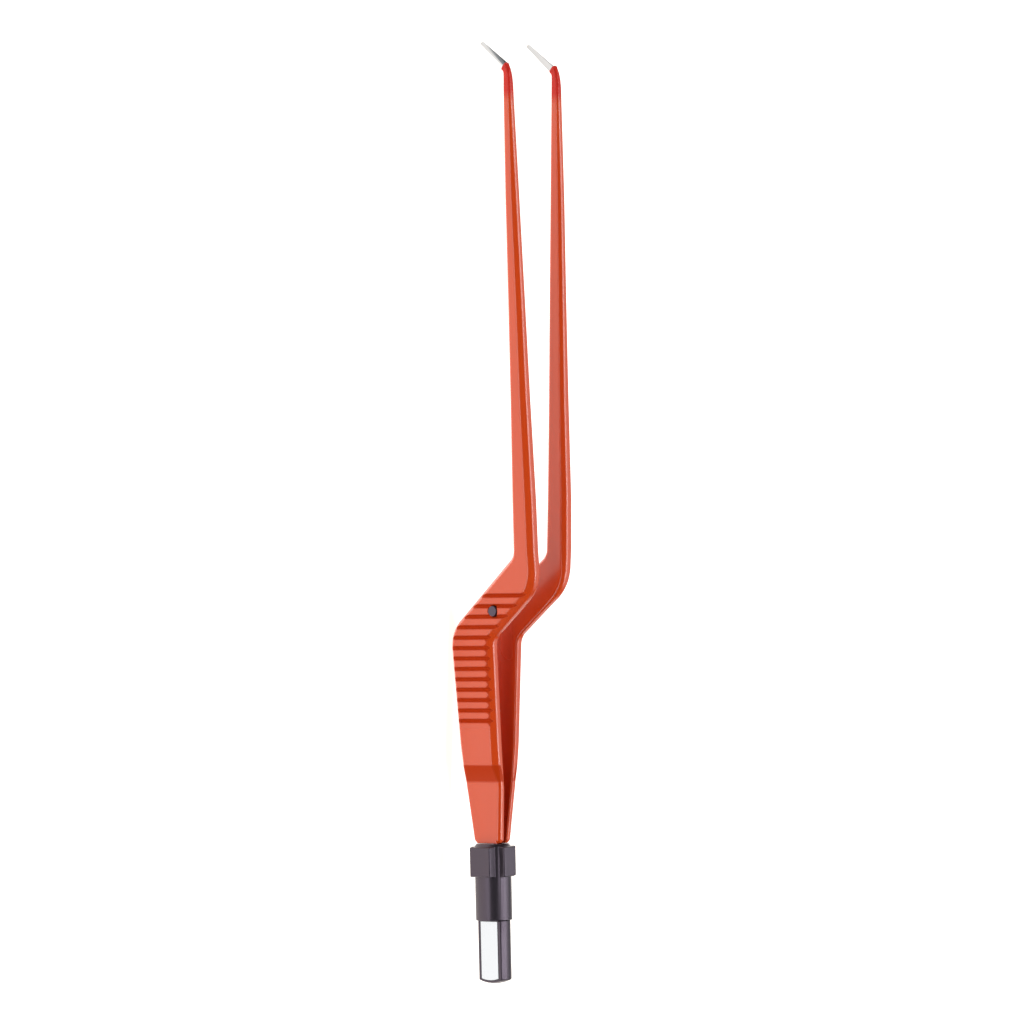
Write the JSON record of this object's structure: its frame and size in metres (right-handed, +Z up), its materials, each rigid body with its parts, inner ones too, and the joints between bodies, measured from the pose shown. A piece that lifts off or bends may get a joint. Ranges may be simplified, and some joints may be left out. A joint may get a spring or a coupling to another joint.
{
  "type": "bipolar forceps",
  "caption": "Bayonet bipolar forceps with insulated spring arms, ribbed finger grips, up-angled bare tips and a flat two-pole plug, lying on both grips and both tips.",
  "frame": {"origin": "centre of the forceps' footprint on the table, as it lies on both grips' knees and both tips", "axes": "+X along the length towards the plug, +Y from the left arm to the right arm, in the direction the arms open, +Z up, the side that the bayonet steps to"},
  "size_m": [0.2192, 0.02, 0.0244],
  "materials": {
    "orange_coat": "glossy sintered nylon coat",
    "blade_steel": "polished stainless steel",
    "contact_metal": "bright plated contact strip",
    "black_plastic": "satin moulded black plastic",
    "pin_plastic": "satin black plastic pin",
    "potting": "black casting resin"
  },
  "bodies": {
    "plug": {"plug_housing": "black_plastic", "contact_carrier": "black_plastic", "right_contact": "contact_metal", "left_contact": "contact_metal", "potting_seal": "potting"},
    "right_arm": {"right_blade": "blade_steel", "right_coating": "orange_coat"},
    "left_arm": {"left_blade": "blade_steel", "left_coating": "orange_coat", "stop_pin": "pin_plastic"}
  },
  "joints": [
    {"name": "right_arm_flex", "type": "hinge", "parent": "plug", "child": "right_arm", "pos_m": [0.0809, 0.00136, 0.01207], "axis": [-0.1103, 0, 0.9939], "range_deg": [0, 2.5], "stiffness_Nm_per_rad": 1.75},
    {"name": "left_arm_flex", "type": "hinge", "parent": "plug", "child": "left_arm", "pos_m": [0.0809, -0.00136, 0.01207], "axis": [0.1103, 0, -0.9939], "range_deg": [0, 2.5], "stiffness_Nm_per_rad": 1.75}
  ]
}
